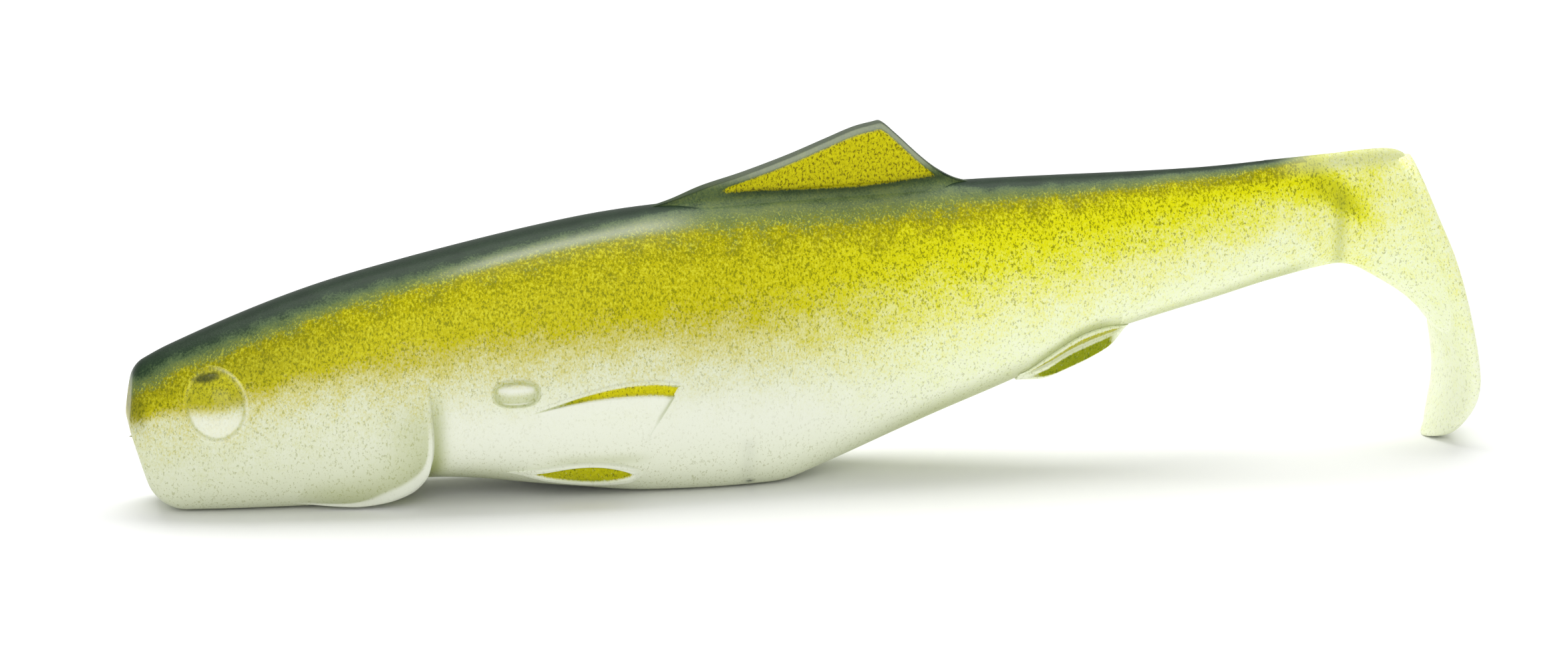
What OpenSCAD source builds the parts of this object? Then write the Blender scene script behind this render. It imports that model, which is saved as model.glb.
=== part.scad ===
// Soft paddle-tail swimbait: a moulded fish-shaped lure that flexes at its back fin, body,
// wrist, neck and paddle. X runs from the nose (-X) to the tail (+X), Z is up, and the lure
// stands on its jaw, belly and paddle toe at Z = 0.

/* [Section lengths, nose to tail] */
// Nose to the rear edge of the gill cover
head_length = 25.5; // [20:0.5:34]
// Flex line of the body to the flex line of the wrist
rear_length = 14.5; // [12:0.5:20]
// Wrist flex line to the thin neck
wrist_length = 12.8; // [10:0.1:18]
// Neck to the rear face of the paddle
tail_length = 12.7; // [10:0.1:16]

/* [Body heights] */
// Height of the back behind the back fin
back_height = 25.6; // [20:0.1:31]
// Height of the top of the neck
neck_top = 26.6; // [22:0.1:32]
// Height of the underside of the neck
neck_bottom = 16.5; // [13:0.1:20]
// Height of the edge where the two nose facets meet
nose_edge_height = 8.6; // [7:0.1:10]

/* [Body widths] */
// Width of the body at its widest, under the pectoral fins
body_width = 15.4; // [12:0.1:19]
// Width of the nose face
nose_width = 6.4; // [5:0.1:8]
// Width at the body flex line
flex_width = 10.7; // [9:0.1:13]
// Width at the wrist flex line
wrist_width = 7; // [5.6:0.1:8.6]
// Width of the thin neck and of the tail web
neck_width = 3.6; // [2.8:0.1:4.6]

/* [Nose facets] */
// Lean of the upper nose facet from upright, in degrees
upper_lean = 9; // [4:1:14]
// Lean of the lower nose facet from upright, in degrees
lower_lean = 14; // [8:1:20]

/* [Back fin] */
// Length of the back fin at its root
fin_length = 25; // [18:0.5:30]
// Rise of the fin's tip above the back
fin_rise = 5.8; // [4:0.1:8]
// Thickness of the fin
fin_thickness = 1.4; // [1:0.1:1.8]
// Radius of the fin's rolled root
fin_root_radius = 1; // [0.8:0.05:1.2]
// Distance from the gill cover to the start of the fin
fin_start = 22.4; // [18:0.1:26]
// Distance from the end of the fin to the knuckle that the rear body turns in
behind_fin = 1.45; // [0.5:0.05:8]

/* [Moulded details] */
// Length of the gill cover
gill_length = 11.5; // [8:0.5:14]
// Height that the rear edge of the gill cover stands proud
gill_proud = 0.55; // [0.3:0.05:0.8]
// Width of the eye along the head
eye_width = 5; // [4:0.1:6]
// Height of the eye
eye_height = 5.8; // [4.6:0.1:7]
// Height that the eye stands proud
eye_proud = 0.7; // [0.4:0.05:1]
// Distance of the eye's centre behind the nose
eye_setback = 7.2; // [6:0.1:9]
// Height of the eye's centre
eye_level = 10; // [9:0.1:11]
// Length of the side boss
boss_length = 3.9; // [3:0.1:5]
// Distance of the boss's centre behind the gill cover
boss_setback = 7.2; // [6:0.1:9]
// Height of the boss's centre
boss_level = 10.4; // [9:0.1:12]
// Height of the side boss
boss_height = 2.2; // [1.6:0.1:2.8]
// Height that the side boss stands proud
boss_proud = 0.35; // [0.2:0.05:0.5]
// Length of the pectoral fin
pectoral_length = 13; // [10:0.5:16]
// Distance of the pectoral fin behind the gill cover
pectoral_setback = 8.6; // [7:0.1:11]
// Height of the pectoral fin's front tip
pectoral_level = 8.7; // [8:0.1:10]
// Depth of the pectoral fin
pectoral_depth = 2.8; // [2:0.1:3.6]
// Length of the pelvic fin
pelvic_length = 11.2; // [8:0.1:14]
// Distance of the pelvic fin behind the gill cover
pelvic_setback = 6.8; // [5:0.1:9]
// Height of the pelvic fin's middle
pelvic_level = 2.8; // [2.4:0.1:3.4]
// Depth of the pelvic fin
pelvic_depth = 2; // [1.4:0.1:2.4]
// Height that the paired fins stand proud
side_fin_proud = 0.45; // [0.3:0.05:0.7]
// Length of the anal fin
anal_length = 9.4; // [7:0.1:11]
// Distance that the anal fin starts ahead of the body flex line
anal_lead = 1.7; // [1:0.1:2.5]
// Depth of the anal fin below the body
anal_depth = 1.6; // [1:0.1:2.4]
// Thickness of the anal fin
anal_thickness = 1.8; // [1.2:0.1:2.4]

/* [Belly hole] */
// Diameter of the blind hole in the belly
hole_diameter = 1.6; // [1.2:0.1:2.4]
// Depth of the blind hole in the belly
hole_depth = 5; // [3:0.5:8]
// Distance of the hole behind the gill cover
hole_setback = 28.5; // [24:0.5:32]

/* [Paddle] */
// Width of the paddle
paddle_width = 12; // [9:0.5:16]
// Thickness of the paddle
paddle_thickness = 2.2; // [1.8:0.1:3]
// Height of the paddle's widest place
paddle_belly = 8; // [6:0.5:10]
// Height of the fold line of the paddle's free blade
fold_height = 12.4; // [11:0.1:14]

/* [Clearances] */
// Gap between two sections that flex past each other
flex_gap = 0.3; // [0.2:0.05:0.4]
// Gap between a moulded detail and the skin that it sits on
seat_gap = 0.03; // [0.02:0.01:0.05]

/* [Hidden] */
$fn = 64;

trunk_length = fin_start + fin_length + behind_fin + flex_gap + flex_width / 2;
total_length = head_length + trunk_length + rear_length + wrist_length + tail_length;
nose_x = -total_length / 2;
gill_x = nose_x + head_length;
body_flex_x = gill_x + trunk_length;
wrist_flex_x = body_flex_x + rear_length;
neck_x = wrist_flex_x + wrist_length;
paddle_x = neck_x + tail_length;
fin_x = gill_x + fin_start;
hole_x = gill_x + hole_setback;
eye_x = nose_x + eye_setback;
boss_x = gill_x + boss_setback;
pectoral_x = gill_x + pectoral_setback;
pelvic_x = gill_x + pelvic_setback;
left = -1;
right = 1;
big = 100;

// Height and length of the back fin's fold line
fin_axis_depth = 1.2;
fin_axis_height = back_height - fin_axis_depth;
fin_slot = 2 * (fin_root_radius + flex_gap);

// A smooth curve through key points [x, value]
function span(keys, x, i = 0) = i >= len(keys) - 2 || x < keys[i + 1][0] ? i : span(keys, x, i + 1);
function tangent(keys, i) =
    let (a = max(i - 1, 0), b = min(i + 1, len(keys) - 1))
    (keys[b][1] - keys[a][1]) / (keys[b][0] - keys[a][0]);
function curve(keys, x) =
    let (i = span(keys, x), h = keys[i + 1][0] - keys[i][0], t = (x - keys[i][0]) / h)
    (2 * t ^ 3 - 3 * t ^ 2 + 1) * keys[i][1] + (t ^ 3 - 2 * t ^ 2 + t) * h * tangent(keys, i)
    + (3 * t ^ 2 - 2 * t ^ 3) * keys[i + 1][1] + (t ^ 3 - t ^ 2) * h * tangent(keys, i + 1);

// The line of the back, of the belly, and the half width, along X. The belly line runs a
// little under Z = 0 at the jaw and belly, where the lure is flat because it rests there.
back_keys = [
    [nose_x - 1, 0.46 * back_height], [nose_x + 0.15 * head_length, 0.557 * back_height],
    [nose_x + 0.59 * head_length, 0.72 * back_height], [gill_x, 0.825 * back_height],
    [gill_x + 0.25 * trunk_length, 0.93 * back_height], [fin_x, 0.966 * back_height],
    [fin_x + fin_length, back_height], [wrist_flex_x, back_height + 0.2 * (neck_top - back_height)],
    [neck_x, neck_top], [paddle_x, neck_top + 0.3]];
belly_keys = [
    [nose_x - 1, -0.35], [gill_x - 0.16 * head_length, -0.35],
    [gill_x - 0.08 * head_length, 0.3], [gill_x, 1.7],
    [gill_x + 0.22 * trunk_length, 0.7], [gill_x + 0.4 * trunk_length, -0.12],
    [gill_x + 0.56 * trunk_length, -0.12], [gill_x + 0.64 * trunk_length, 1.2],
    [gill_x + 0.82 * trunk_length, 4.8], [body_flex_x, 8.6],
    [body_flex_x + 0.25 * rear_length, 10.8], [body_flex_x + 0.5 * rear_length, 11.8],
    [wrist_flex_x, 13.6], [neck_x, neck_bottom], [paddle_x, neck_bottom]];
width_keys = [
    [nose_x - 1, nose_width / 2 - 0.3], [nose_x + 0.12 * head_length, 0.28 * body_width],
    [nose_x + 0.35 * head_length, 0.375 * body_width], [gill_x - 0.3 * head_length, 0.45 * body_width],
    [gill_x, 0.47 * body_width], [gill_x + 0.37 * trunk_length, body_width / 2],
    [body_flex_x, flex_width / 2], [wrist_flex_x, wrist_width / 2], [neck_x, neck_width / 2],
    [paddle_x, neck_width / 2]];

// A cross-section is widest at this share of its height, and squarer below than above
wide_share = 0.44;
upper_power = 2.1;
lower_power = 2.6;
function back(x) = curve(back_keys, x);
function belly(x) = curve(belly_keys, x);
function half_width(x) = curve(width_keys, x);
function wide_height(x) = belly(x) + wide_share * (back(x) - belly(x));
function power(a) = a < 0 ? lower_power : upper_power;
function reach(x, a) = a < 0 ? wide_height(x) - belly(x) : back(x) - wide_height(x);

// The skin at X and at angle a: -90 at the belly, 0 at the widest place, 90 at the back
function skin(x, a) = [
    x,
    half_width(x) * pow(max(cos(a), 0), 2 / power(a)),
    wide_height(x) + sign(a) * reach(x, a) * pow(abs(sin(a)), 2 / power(a))];
function angle_at(x, z) =
    let (a = z < wide_height(x) ? -1 : 1, s = min(abs(z - wide_height(x)) / reach(x, a), 1))
    a * asin(pow(s, power(a) / 2));

// The outward direction of the skin in the plane of a cross-section
function outward(x, a) =
    let (p = skin(x, min(a + 1, 89)), q = skin(x, max(a - 1, -89)), d = p - q)
    [0, d[2], -d[1]] / norm([d[2], d[1]]);

// A closed ring of the skin, round from the belly by the +Y side, and a solid between stations
ring_points = 36;
function ring(x) = [for (k = [0 : ring_points - 1])
    let (turn = -90 + 360 * k / ring_points)
    turn <= 90 ? skin(x, turn) : [for (i = [0 : 2]) (i == 1 ? -1 : 1) * skin(x, 180 - turn)[i]]];

module loft(rings) {
    count = len(rings[0]);
    last = len(rings) - 1;
    sides = [for (r = [0 : last - 1], k = [0 : count - 1]) each
        let (a = r * count + k, b = r * count + (k + 1) % count)
        [[a, b, b + count], [a, b + count, a + count]]];
    start = [[for (k = [count - 1 : -1 : 0]) k]];
    end = [[for (k = [0 : count - 1]) last * count + k]];
    polyhedron([for (r = rings) each r], concat(sides, start, end));
}

module body_between(x0, x1, step = 1.9) {
    steps = ceil((x1 - x0) / step);
    loft([for (i = [0 : steps]) ring(x0 + (x1 - x0) * i / steps)]);
}

module above_floor() {
    translate([-big, -big, 0]) cube([2 * big, 2 * big, big]);
}

// An upright round knuckle, full height, on a flex line
module knuckle(x, radius) {
    translate([x, 0, -1]) cylinder(r = radius, h = big);
}

// A section that starts in a round knuckle at x0 and ends at x1, hollowed for the next knuckle
module flexing_section(x0, x1, start_radius, end_radius) {
    difference() {
        body_between(x0 - start_radius, x1);
        difference() {
            translate([x0 - big, -big, -1]) cube([big, 2 * big, big]);
            knuckle(x0, start_radius);
        }
        knuckle(x1, end_radius + flex_gap);
    }
}

// A thin moulded detail on the skin. It runs from x0 to x1, between the heights low(u) and
// high(u), and stands proud(u, v) above the skin, with u and v running from -1 to 1.
module skin_detail(side, x0, x1, low, high, proud, rows = 12, columns = 7) {
    count = (rows + 1) * (columns + 1);
    function at(i, j, lift) =
        let (
            u = -cos(180 * i / rows), v = -1 + 2 * j / columns, x = x0 + (x1 - x0) * (u + 1) / 2,
            a = angle_at(x, low(u) + (high(u) - low(u)) * (v + 1) / 2),
            p = skin(x, a) + outward(x, a) * (seat_gap + lift * proud(u, v)))
        [p[0], side * p[1], p[2]];
    points = [for (lift = [0, 1], i = [0 : rows], j = [0 : columns]) at(i, j, lift)];
    function id(i, j, lift) = lift * count + i * (columns + 1) + j;
    function quad(a, b, c, d) = [[a, b, c], [a, c, d]];
    top = [for (i = [0 : rows - 1], j = [0 : columns - 1])
        each quad(id(i, j, 1), id(i, j + 1, 1), id(i + 1, j + 1, 1), id(i + 1, j, 1))];
    under = [for (i = [0 : rows - 1], j = [0 : columns - 1])
        each quad(id(i, j, 0), id(i + 1, j, 0), id(i + 1, j + 1, 0), id(i, j + 1, 0))];
    long_walls = [for (i = [0 : rows - 1]) each concat(
        quad(id(i, 0, 0), id(i, 0, 1), id(i + 1, 0, 1), id(i + 1, 0, 0)),
        quad(id(i, columns, 0), id(i + 1, columns, 0), id(i + 1, columns, 1), id(i, columns, 1)))];
    end_walls = [for (j = [0 : columns - 1]) each concat(
        quad(id(0, j, 0), id(0, j + 1, 0), id(0, j + 1, 1), id(0, j, 1)),
        quad(id(rows, j, 0), id(rows, j, 1), id(rows, j + 1, 1), id(rows, j + 1, 0)))];
    faces = concat(top, under, long_walls, end_walls);
    flipped = [for (f = faces) [f[2], f[1], f[0]]];
    polyhedron(points, side > 0 ? flipped : faces);
}

// A round-ended bulge: full at the middle, and this thin at its rim
rim = 0.12;
function bulge(u, v, height) = rim + (height - rim) * sqrt(max(1 - u * u * 0.98, 0)) * (1 - 0.7 * v ^ 4);
function bow(u, half) = half * sqrt(max(1 - 0.97 * u * u, 0));

module head() {
    color([0.80, 0.83, 0.55])
    intersection() {
        difference() {
            body_between(nose_x - 0.8, gill_x, 1);
            for (lean = [upper_lean, -lower_lean]) translate([nose_x, -big, nose_edge_height])
                rotate([0, lean, 0]) translate([-big, 0, lean > 0 ? -2 : 2 - big])
                    cube([big, 2 * big, big]);
        }
        above_floor();
    }
}

module gill_cover(side) {
    color([0.86, 0.88, 0.72])
    skin_detail(side, gill_x - gill_length, gill_x,
        function (u) 4.4 - 3 * cos(100 * u - 25), function (u) 10.6 - 1.5 * u * u,
        function (u, v) rim + (gill_proud - rim) * (u + 1) / 2);
}

module eye(side) {
    color([0.95, 0.93, 0.55])
    skin_detail(side, eye_x - eye_width / 2, eye_x + eye_width / 2,
        function (u) eye_level - bow(u, eye_height / 2),
        function (u) eye_level + bow(u, eye_height / 2),
        function (u, v) bulge(u, v, eye_proud));
}

module trunk() {
    color([0.80, 0.78, 0.30])
    intersection() {
        difference() {
            body_between(gill_x, body_flex_x);
            knuckle(body_flex_x, flex_width / 2 + flex_gap);
            dorsal_slot();
            translate([hole_x, 0, -1]) cylinder(d = hole_diameter, h = hole_depth + 1);
        }
        above_floor();
    }
}

// The groove along the back that the fin's rolled root turns in
module dorsal_slot() {
    length = fin_length + 2 * flex_gap;
    translate([fin_x - flex_gap, 0, fin_axis_height]) {
        rotate([0, 90, 0]) cylinder(d = fin_slot, h = length);
        translate([0, -fin_slot / 2, 0]) cube([length, fin_slot, back_height]);
    }
}

module side_boss(side) {
    color([0.92, 0.93, 0.85])
    skin_detail(side, boss_x - boss_length / 2, boss_x + boss_length / 2,
        function (u) boss_level - bow(u, boss_height / 2),
        function (u) boss_level + bow(u, boss_height / 2),
        function (u, v) bulge(u, v, boss_proud), 10, 5);
}

module pectoral_fin(side) {
    color([0.90, 0.92, 0.80])
    skin_detail(side, pectoral_x, pectoral_x + pectoral_length,
        function (u) pectoral_level - 0.15 * (u + 1) - bow(u, pectoral_depth / 2),
        function (u) pectoral_level + 0.45 * (u + 1) + bow(u, pectoral_depth / 2),
        function (u, v) bulge(u, v, side_fin_proud));
}

module pelvic_fin(side) {
    color([0.70, 0.72, 0.20])
    skin_detail(side, pelvic_x, pelvic_x + pelvic_length,
        function (u) pelvic_level - 0.5 * u - bow(u, pelvic_depth / 2),
        function (u) pelvic_level - 0.5 * u + bow(u, pelvic_depth / 2),
        function (u, v) bulge(u, v, side_fin_proud));
}

// The fin's outline: a long rising front edge, a rounded tip and a steep rear edge
module dorsal_fin() {
    tip = fin_x + 0.72 * fin_length;
    edge = [
        [fin_x, back_height - 1], [fin_x + 0.1 * fin_length, back_height + 0.05 * fin_rise],
        [fin_x + 0.4 * fin_length, back_height + 0.53 * fin_rise],
        [fin_x + 0.63 * fin_length, back_height + 0.93 * fin_rise], [tip, back_height + fin_rise]];
    color([0.75, 0.70, 0.10]) {
        translate([fin_x, 0, fin_axis_height]) rotate([0, 90, 0])
            cylinder(r = fin_root_radius, h = fin_length);
        translate([0, fin_thickness / 2, 0]) rotate([90, 0, 0]) linear_extrude(fin_thickness)
            polygon(concat(
                [[fin_x + fin_length, fin_axis_height], [fin_x, fin_axis_height]],
                [for (i = [0 : 16]) let (x = fin_x + (tip - fin_x) * i / 16) [x, curve(edge, x)]],
                [[tip + 0.05 * fin_length, back_height + 0.85 * fin_rise],
                [fin_x + 0.9 * fin_length, back_height + 0.3 * fin_rise],
                [fin_x + fin_length, back_height + 0.04 * fin_rise]]));
    }
}

module rear_body() {
    color([0.82, 0.80, 0.35])
    difference() {
        flexing_section(body_flex_x, wrist_flex_x, flex_width / 2, wrist_width / 2);
        anal_fin_plate();
    }
}

// The keel-like fin under the rear of the body, let into it
anal_x = body_flex_x - anal_lead;
module anal_fin_plate() {
    steps = 12;
    translate([0, anal_thickness / 2, 0]) rotate([90, 0, 0]) linear_extrude(anal_thickness)
        polygon(concat(
            [for (i = [0 : steps]) let (x = anal_x + anal_length * i / steps) [x, belly(x) + 0.8]],
            [for (i = [steps : -1 : 0]) let (x = anal_x + anal_length * i / steps)
                [x, belly(x) - anal_depth * sin(180 * i / steps) + 0.2]]));
}

module anal_fin() {
    color([0.60, 0.62, 0.10]) anal_fin_plate();
}

module tail_wrist() {
    color([0.85, 0.84, 0.50])
    flexing_section(wrist_flex_x, neck_x, wrist_width / 2, neck_width / 2);
}

// The paddle's rear face leans back from the heel to its belly and curls in at the toe
paddle_top = neck_top - 1.2;
rear_keys = [
    [0, paddle_x - 2], [0.12 * paddle_belly, paddle_x - 1.1], [0.5 * paddle_belly, paddle_x - 0.05],
    [0.85 * paddle_belly, paddle_x], [fold_height, paddle_x - 1], [0.68 * paddle_top, paddle_x - 2.1],
    [0.83 * paddle_top, paddle_x - 3.5], [paddle_top, paddle_x - 5.2]];
function paddle_rear(z) = min(curve(rear_keys, z), paddle_x);
function paddle_half(z) = paddle_width / 2 * sqrt(max(
    z < paddle_belly ? 1 - pow(1 - z / paddle_belly, 2)
        : 1 - pow((z - paddle_belly) / (paddle_top + 0.8 - paddle_belly), 2), 0.01));
function paddle_level(i, levels) = paddle_top * (1 - cos(180 * i / levels)) / 2;

// The paddle: its side outline, carried across, within its outline from behind
module paddle_plate() {
    levels = 20;
    heights = [for (i = [0 : levels]) paddle_level(i, levels)];
    intersection() {
        translate([0, paddle_width, 0]) rotate([90, 0, 0]) linear_extrude(2 * paddle_width)
            polygon(concat([for (z = heights) [paddle_rear(z), z]],
                [for (i = [levels : -1 : 0]) [paddle_rear(heights[i]) - paddle_thickness, heights[i]]]));
        translate([paddle_x - big / 2, 0, 0]) rotate([90, 0, 90]) linear_extrude(big)
            polygon(concat([for (z = heights) [paddle_half(z), z]],
                [for (i = [levels : -1 : 0]) [-paddle_half(heights[i]), heights[i]]]));
    }
}

fold_radius = paddle_thickness / 2;
fold_x = paddle_rear(fold_height) - fold_radius;
module fold_roll(radius) {
    translate([fold_x, big / 2, fold_height]) rotate([90, 0, 0]) cylinder(r = radius, h = big);
}

// The tail behind the neck: a web that swells down into the upper part of the paddle
module tail_heel() {
    color([0.88, 0.88, 0.60])
    difference() {
        union() {
            heel_web();
            paddle_plate();
        }
        translate([-big, -big, fold_height - big]) cube([2 * big, 2 * big, big]);
        fold_roll(fold_radius + flex_gap);
    }
}

module heel_web() {
    web_rear = paddle_rear(fold_height) - fold_radius;
    web_foot = fold_height - 0.7;
    web_crown = paddle_top - 0.55;
    difference() {
        translate([0, neck_width / 2, 0]) rotate([90, 0, 0]) linear_extrude(neck_width)
            polygon(concat(
                [[neck_x - neck_width / 2, neck_top], [neck_x - neck_width / 2, neck_bottom],
                [neck_x, neck_bottom], [neck_x + 3.8, neck_bottom - 1.3],
                [neck_x + 6.4, neck_bottom - 2.8], [web_rear, web_foot]],
                [for (i = [0 : 8]) let (z = web_foot + (web_crown - web_foot) * i / 8)
                    [paddle_rear(z) - 0.45, z]],
                [[paddle_x - 6.4, neck_top + 0.1], [paddle_x - 8.4, neck_top + 0.3]]));
        difference() {
            translate([neck_x - big, -big, 0]) cube([big, 2 * big, big]);
            knuckle(neck_x, neck_width / 2);
        }
    }
}

module paddle_blade() {
    color([0.90, 0.93, 0.68])
    intersection() {
        paddle_plate();
        union() {
            translate([-big, -big, fold_height - big]) cube([2 * big, 2 * big, big]);
            fold_roll(fold_radius);
        }
    }
}

head();
gill_cover(left);  // gill_cover_left
gill_cover(right);  // gill_cover_right
eye(left);  // eye_left
eye(right);  // eye_right
trunk();
side_boss(left);  // side_boss_left
side_boss(right);  // side_boss_right
pectoral_fin(left);  // pectoral_fin_left
pectoral_fin(right);  // pectoral_fin_right
pelvic_fin(left);  // pelvic_fin_left
pelvic_fin(right);  // pelvic_fin_right
dorsal_fin();
rear_body();
anal_fin();
tail_wrist();
tail_heel();
paddle_blade();
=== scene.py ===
"""Looks of a soft paddle-tail swimbait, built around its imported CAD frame.

X runs from the nose (-X) to the tail (+X), Y across and Z up. Sizes here are in millimetres;
the meshes are made in metres. Every painted surface keeps its rest position as an attribute,
so that the airbrushed colours stay on the skin when the lure bends.
"""

import math

import bpy
import numpy as np
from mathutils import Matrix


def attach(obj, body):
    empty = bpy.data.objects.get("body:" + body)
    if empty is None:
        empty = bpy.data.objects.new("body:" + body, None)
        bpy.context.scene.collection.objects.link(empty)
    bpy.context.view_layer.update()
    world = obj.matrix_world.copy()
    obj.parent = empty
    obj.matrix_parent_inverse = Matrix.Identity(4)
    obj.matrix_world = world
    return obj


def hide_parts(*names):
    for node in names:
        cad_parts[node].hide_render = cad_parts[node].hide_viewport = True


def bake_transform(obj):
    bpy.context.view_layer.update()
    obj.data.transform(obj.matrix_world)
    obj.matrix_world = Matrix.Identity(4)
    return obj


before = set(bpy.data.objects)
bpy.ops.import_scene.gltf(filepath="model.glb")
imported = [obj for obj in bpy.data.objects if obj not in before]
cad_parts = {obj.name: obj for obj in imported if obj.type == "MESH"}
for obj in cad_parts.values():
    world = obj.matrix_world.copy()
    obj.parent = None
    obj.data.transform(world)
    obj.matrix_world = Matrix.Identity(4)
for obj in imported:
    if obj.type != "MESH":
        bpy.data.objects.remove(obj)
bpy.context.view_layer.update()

# ---- Body: head and trunk in one skin ---------------------------------------------------
# Soft PVC plastisol, injected in one shot with the rest of the lure, then airbrushed: a dark
# green back, a yellow flank and a pale, unpainted belly. The nose is a flat cut with a soft
# edge, and the skin bends at the line behind the back fin.
NOSE, REAR_START = -60.0, 27.25
# Heights of the back and the belly and half the width, each as (x, value)
BACK_LINE = (
    (-61, 11.78), (-56.2, 14.26), (-45, 18.43), (-34.5, 21.12), (-20.9, 23.81), (-12.1, 24.73),
    (12.9, 25.6), (34.5, 25.8), (47.3, 26.6), (60, 26.9),
)
BELLY_LINE = (
    (-61, -0.35), (-38.6, -0.35), (-36.5, 0.3), (-34.5, 1.7), (-22.5, 0.5), (-15, -0.4), (-4, -0.4),
    (0.4, 1.0), (10.2, 4.8), (20, 8.6), (23.6, 10.8), (27.25, 11.8), (34.5, 13.6), (47.3, 16.5),
    (60, 16.5),
)
HALF_WIDTH = (
    (-61, 2.9), (-56.9, 4.31), (-51.1, 5.78), (-42.15, 6.93), (-34.5, 7.24), (-14.3, 7.7),
    (20, 5.35), (34.5, 3.5), (47.3, 1.8), (60, 1.8),
)
# The widest place as a share of the depth, and how square the section is over and under it
WIDE_SHARE, UPPER_POWER = 0.44, 2.1
LOWER_POWER = ((-61, 2.6), (-34.5, 2.6), (-22, 3.1), (-6, 3.1), (8, 2.6), (60, 2.6))
FLOOR_EASE = 0.3
NOSE_EDGE, NOSE_SOFT, UPPER_LEAN, LOWER_LEAN = 7.9, 0.5, math.radians(7.5), math.radians(16.5)
# The nose is closed by rings round its centre, then its corner turns over to x = CORNER_END
NOSE_CENTRE, NOSE_RINGS, CORNER_RINGS, CORNER_END = 6.3, 14, 9, -58.8
HOLE_X, HOLE_RADIUS, HOLE_EDGE, HOLE_DEPTH = -6.0, 0.8, 0.09, 5.0
FOLD_DEPTH, FOLD_WIDTH, FOLD_BEHIND = 0.4, 0.75, 0.35
# The edge of the gill cover, from the jaw to its top, as x and z against a share of its length
GILL_EDGE_X = (
    (0, -47), (0.19, -42.6), (0.37, -38.3), (0.48, -36), (0.55, -34.9), (0.62, -34.4), (0.7, -34.3),
    (0.82, -34.5), (1, -34.9),
)
GILL_EDGE_Z = (
    (0, 0.5), (0.19, 0.5), (0.37, 0.75), (0.48, 1.5), (0.55, 2.7), (0.62, 4.2), (0.7, 6.2),
    (0.82, 9), (1, 13.2),
)
# The ridge of the anal fin along each flank
ANAL_RIDGE = (
    (17.5, 8.6), (18.6, 8.9), (20.5, 10.3), (23.5, 11.95), (26.1, 12.6), (27.8, 12.4), (28.5, 12.3),
)
# Depth under the back of the four edges of the airbrushed bands, and the fade below the last
BANDS = (
    ((-60, 0.9), (-45, 0.9), (-20, 0.6), (-10, 0.2), (12, 0.2), (17, 0.5), (34, 0.2), (48, 0.1)),
    ((-60, 2.1), (-45, 2.0), (-30, 1.7), (-16, 1.7), (4, 2.3), (19, 1.4), (34, 0.75), (48, 0.35)),
    (
        (-60, 3.6), (-52, 5.0), (-45, 5.5), (-34, 5.8), (-17, 7.6), (3, 6.8), (18.6, 4.9),
        (37, 2.7), (48, 2.2),
    ),
    (
        (-60, 4.4), (-52, 6.4), (-45, 7.4), (-34, 9.4), (-17, 11.0), (3, 13.2), (18.5, 11),
        (37, 7), (48, 5),
    ),
)
BELLY_FADE = 6


def curve(keys, x):
    """A cubic Hermite curve through (x, value) keys; a key's slope joins its two neighbours."""
    at, value = np.array(keys, float).T
    k = np.arange(len(at))
    low, high = np.maximum(k - 1, 0), np.minimum(k + 1, len(at) - 1)
    slope = (value[high] - value[low]) / (at[high] - at[low])
    i = np.clip(np.searchsorted(at, x, "right") - 1, 0, len(at) - 2)
    h = at[i + 1] - at[i]
    t = np.clip((x - at[i]) / h, -0.5, 1.5)
    return (
        (2 * t**3 - 3 * t**2 + 1) * value[i] + (t**3 - 2 * t**2 + t) * h * slope[i]
        + (3 * t**2 - 2 * t**3) * value[i + 1] + (t**3 - t**2) * h * slope[i + 1]
    )


def smooth(a, b, x):
    """0 before a, 1 after b, and 3t^2 - 2t^3 between them; it falls where a is over b."""
    t = np.clip((x - a) / (b - a), 0, 1)
    return t * t * (3 - 2 * t)


def bump(x, middle, width):
    """A bell exp(-((x - middle) / width)^2)."""
    return np.exp(-(((x - middle) / width) ** 2))


def section(x, a, back=BACK_LINE, belly=BELLY_LINE):
    """Skin at angle a round the section at x: y = w cos^(2/p) a, z = m + r sin^(2/p) a, with z
    then eased off the floor as (z + sqrt(z^2 + e^2)) / 2."""
    top, low = curve(back, x), curve(belly, x)
    middle = low + WIDE_SHARE * (top - low)
    c, s = np.cos(a), np.sin(a)
    power = 2 / np.where(s > 0, UPPER_POWER, curve(LOWER_POWER, x))
    y = curve(HALF_WIDTH, x) * np.sign(c) * np.abs(c) ** power
    z = middle + np.where(s > 0, top - middle, middle - low) * np.sign(s) * np.abs(s) ** power
    return y, 0.5 * (z + np.sqrt(z * z + FLOOR_EASE**2))


def quads(rows, columns, wrap=False):
    """Faces of a grid of points kept row by row; wrap joins the last column to the first."""
    i, j = np.meshgrid(
        np.arange(rows - 1), np.arange(columns if wrap else columns - 1), indexing="ij"
    )
    k = (j + 1) % columns
    faces = (i * columns + j, i * columns + k, (i + 1) * columns + k, (i + 1) * columns + j)
    return np.stack(faces, -1).reshape(-1, 4)


def grid_normals(p, wrap=False):
    """Unit normals of a grid of points: the cross product of its two differences."""
    if wrap:
        q = np.concatenate((p[:, -1:], p, p[:, :1]), 1)
        across = q[:, 2:] - q[:, :-2]
    else:
        across = np.gradient(p, axis=1)
    n = np.cross(across, np.gradient(p, axis=0))
    size = np.linalg.norm(n, axis=-1, keepdims=True)
    return n / np.maximum(size, 1e-12)


def level_of(p):
    """Airbrush level of a rest point: 0 at the back, then 1 to 4 at the edges of the bands."""
    x = p[..., 0]
    depth = np.maximum(curve(BACK_LINE, x) - p[..., 2], 0)
    edges = [0.0] + [curve(band, x) for band in BANDS]
    level = sum(
        np.clip((depth - e) / (f - e), 0, 1) for e, f in zip(edges[:-1], edges[1:], strict=True)
    )
    return level + np.maximum(depth - edges[-1], 0) / BELLY_FADE


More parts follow.
